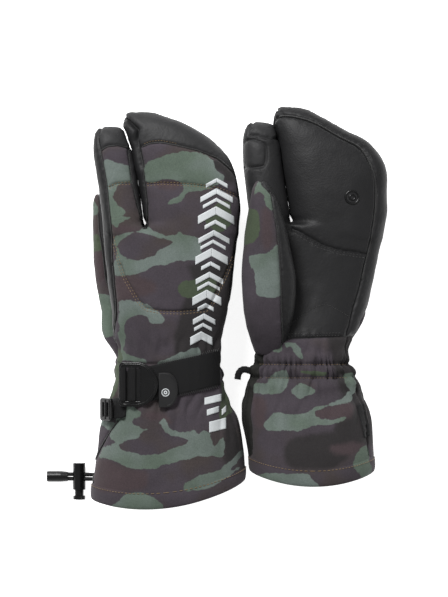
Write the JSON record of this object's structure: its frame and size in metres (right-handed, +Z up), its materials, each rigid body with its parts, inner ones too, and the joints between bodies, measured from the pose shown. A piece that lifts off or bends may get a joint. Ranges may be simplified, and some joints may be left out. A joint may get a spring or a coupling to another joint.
{
  "type": "trigger-finger snow mittens",
  "caption": "Pair of insulated trigger-finger snow mittens in camouflage fabric and black leather, with long gauntlet cuffs, wrist strap buckle and hem drawcord.",
  "frame": {"origin": "centre of the pair's footprint, on the table they lie on", "axes": "+Y from the cuffs to the fingertips, +Z up from the table, +X towards the little-finger edges"},
  "size_m": [0.2926, 0.3369, 0.084],
  "materials": {
    "black_leather": "soft matt grain",
    "black_plastic": "satin moulded",
    "camo_fabric": "matt camouflage weave",
    "camo_trim": "matt camouflage weave",
    "cord": "braided elastic cord",
    "elastic": "woven elastic",
    "knit_lining": "brushed knit",
    "label": "smooth woven tape",
    "steel": "bright wire",
    "webbing": "ribbed nylon webbing"
  },
  "bodies": {
    "right_gauntlet": {"right_gauntlet_back": "camo_fabric", "right_gauntlet_palm": "camo_fabric", "right_gauntlet_gusset": "black_leather", "right_hem_band": "camo_trim", "right_gauntlet_lining": "knit_lining", "right_wrist_elastic": "elastic", "right_strap": "webbing", "right_keeper_loop": "webbing", "drawcord": "cord", "cord_end": "black_plastic"},
    "right_buckle_body": {"right_buckle": "black_plastic"},
    "right_tab_body": {"right_pull_tab": "black_plastic"},
    "right_hand": {"right_yoke_panel": "camo_fabric", "right_hand_back": "camo_fabric", "right_side_strip": "black_leather", "right_palm_leather": "black_leather", "right_edge_gusset": "black_leather", "right_hand_lining": "knit_lining", "right_index_base": "camo_fabric", "right_knuckle_panel": "camo_fabric", "right_upper_palm": "black_leather", "right_fourchette": "black_leather"},
    "right_index": {"right_index_back": "camo_fabric", "right_index_palm": "black_leather", "right_index_cap": "black_leather"},
    "right_mitt": {"right_mitt_back": "camo_fabric", "right_mitt_palm": "black_leather", "right_mitt_cap": "black_leather"},
    "right_thumb": {"right_thumb_back": "camo_fabric", "right_thumb_leather": "black_leather", "right_thumb_tip": "camo_fabric", "right_thumb_base": "black_leather"},
    "lock_body": {"cord_lock_barrel": "black_plastic", "cord_lock_spring": "steel"},
    "plunger_body": {"cord_lock_plunger": "black_plastic"},
    "left_gauntlet": {"left_gauntlet_back": "camo_fabric", "left_gauntlet_palm": "camo_fabric", "left_gauntlet_gusset": "black_leather", "left_hem_band": "camo_trim", "left_gauntlet_lining": "knit_lining", "left_wrist_elastic": "elastic", "left_strap": "webbing", "left_side_label": "label"},
    "left_buckle_body": {"left_buckle": "black_plastic"},
    "left_tab_body": {"left_pull_tab": "black_plastic"},
    "left_hand": {"left_yoke_panel": "camo_fabric", "left_hand_back": "camo_fabric", "left_side_strip": "black_leather", "left_palm_leather": "black_leather", "left_edge_gusset": "black_leather", "left_hand_lining": "knit_lining", "left_index_base": "camo_fabric", "left_knuckle_panel": "camo_fabric", "left_upper_palm": "black_leather", "left_fourchette": "black_leather"},
    "left_index": {"left_index_tip": "black_leather"},
    "left_mitt": {"left_mitt_tip": "black_leather"},
    "left_thumb": {"left_thumb_shell": "camo_fabric", "left_thumb_tip": "camo_fabric", "left_thumb_base": "black_leather"}
  },
  "joints": [
    {"name": "right_wrist_flex", "type": "hinge", "parent": "right_gauntlet", "child": "right_hand", "pos_m": [-0.0579, -0.0332, 0.0225], "axis": [-1, 0, 0], "range_deg": [0, 35]},
    {"name": "right_index_flex", "type": "hinge", "parent": "right_hand", "child": "right_index", "pos_m": [-0.1031, 0.1058, 0.039], "axis": [-1, 0, 0], "range_deg": [0, 38]},
    {"name": "right_mitt_flex", "type": "hinge", "parent": "right_hand", "child": "right_mitt", "pos_m": [-0.0424, 0.1018, 0.0355], "axis": [-1, 0, 0], "range_deg": [0, 50]},
    {"name": "right_thumb_open", "type": "hinge", "parent": "right_hand", "child": "right_thumb", "pos_m": [-0.0954, -0.0162, 0.0305], "axis": [-1, 0, 0], "range_deg": [0, 25]},
    {"name": "right_buckle_lift", "type": "hinge", "parent": "right_gauntlet", "child": "right_buckle_body", "pos_m": [-0.0999, -0.0637, 0.076], "axis": [0, -1, 0], "range_deg": [0, 70]},
    {"name": "right_tab_pull", "type": "slide", "parent": "right_gauntlet", "child": "right_tab_body", "axis": [0.9744, 0.225, 0], "range_m": [0, 0.02]},
    {"name": "cord_lock_slide", "type": "slide", "parent": "right_gauntlet", "child": "lock_body", "axis": [0.9613, 0, 0.2756], "range_m": [0, 0.007]},
    {"name": "lock_plunger_push", "type": "slide", "parent": "lock_body", "child": "plunger_body", "axis": [0, 1, 0], "range_m": [0, 0.004], "stiffness_N_per_m": 400, "springref_m": -0.003, "deforming": ["cord_lock_spring"]},
    {"name": "left_mitten_slide", "type": "slide", "parent": "right_gauntlet", "child": "left_gauntlet", "axis": [1, 0, 0], "range_m": [0, 0.2]},
    {"name": "left_wrist_flex", "type": "hinge", "parent": "left_gauntlet", "child": "left_hand", "pos_m": [0.05765, -0.03137, 0.0615], "axis": [0.9962, -0.0872, 0], "range_deg": [0, 35]},
    {"name": "left_index_flex", "type": "hinge", "parent": "left_hand", "child": "left_index", "pos_m": [0.02474, 0.11104, 0.045], "axis": [0.9962, -0.0872, 0], "range_deg": [0, 38]},
    {"name": "left_mitt_flex", "type": "hinge", "parent": "left_hand", "child": "left_mitt", "pos_m": [0.08486, 0.10176, 0.0485], "axis": [0.9962, -0.0872, 0], "range_deg": [0, 50]},
    {"name": "left_thumb_open", "type": "hinge", "parent": "left_hand", "child": "left_thumb", "pos_m": [0.02178, -0.01117, 0.0535], "axis": [0.9962, -0.0872, 0], "range_deg": [0, 25]},
    {"name": "left_buckle_lift", "type": "hinge", "parent": "left_gauntlet", "child": "left_buckle_body", "pos_m": [0.0147, -0.0617, 0.008], "axis": [0, 1, 0], "range_deg": [0, 70]},
    {"name": "left_tab_pull", "type": "slide", "parent": "left_gauntlet", "child": "left_tab_body", "axis": [0.9744, 0.225, 0], "range_m": [0, 0.02]}
  ]
}
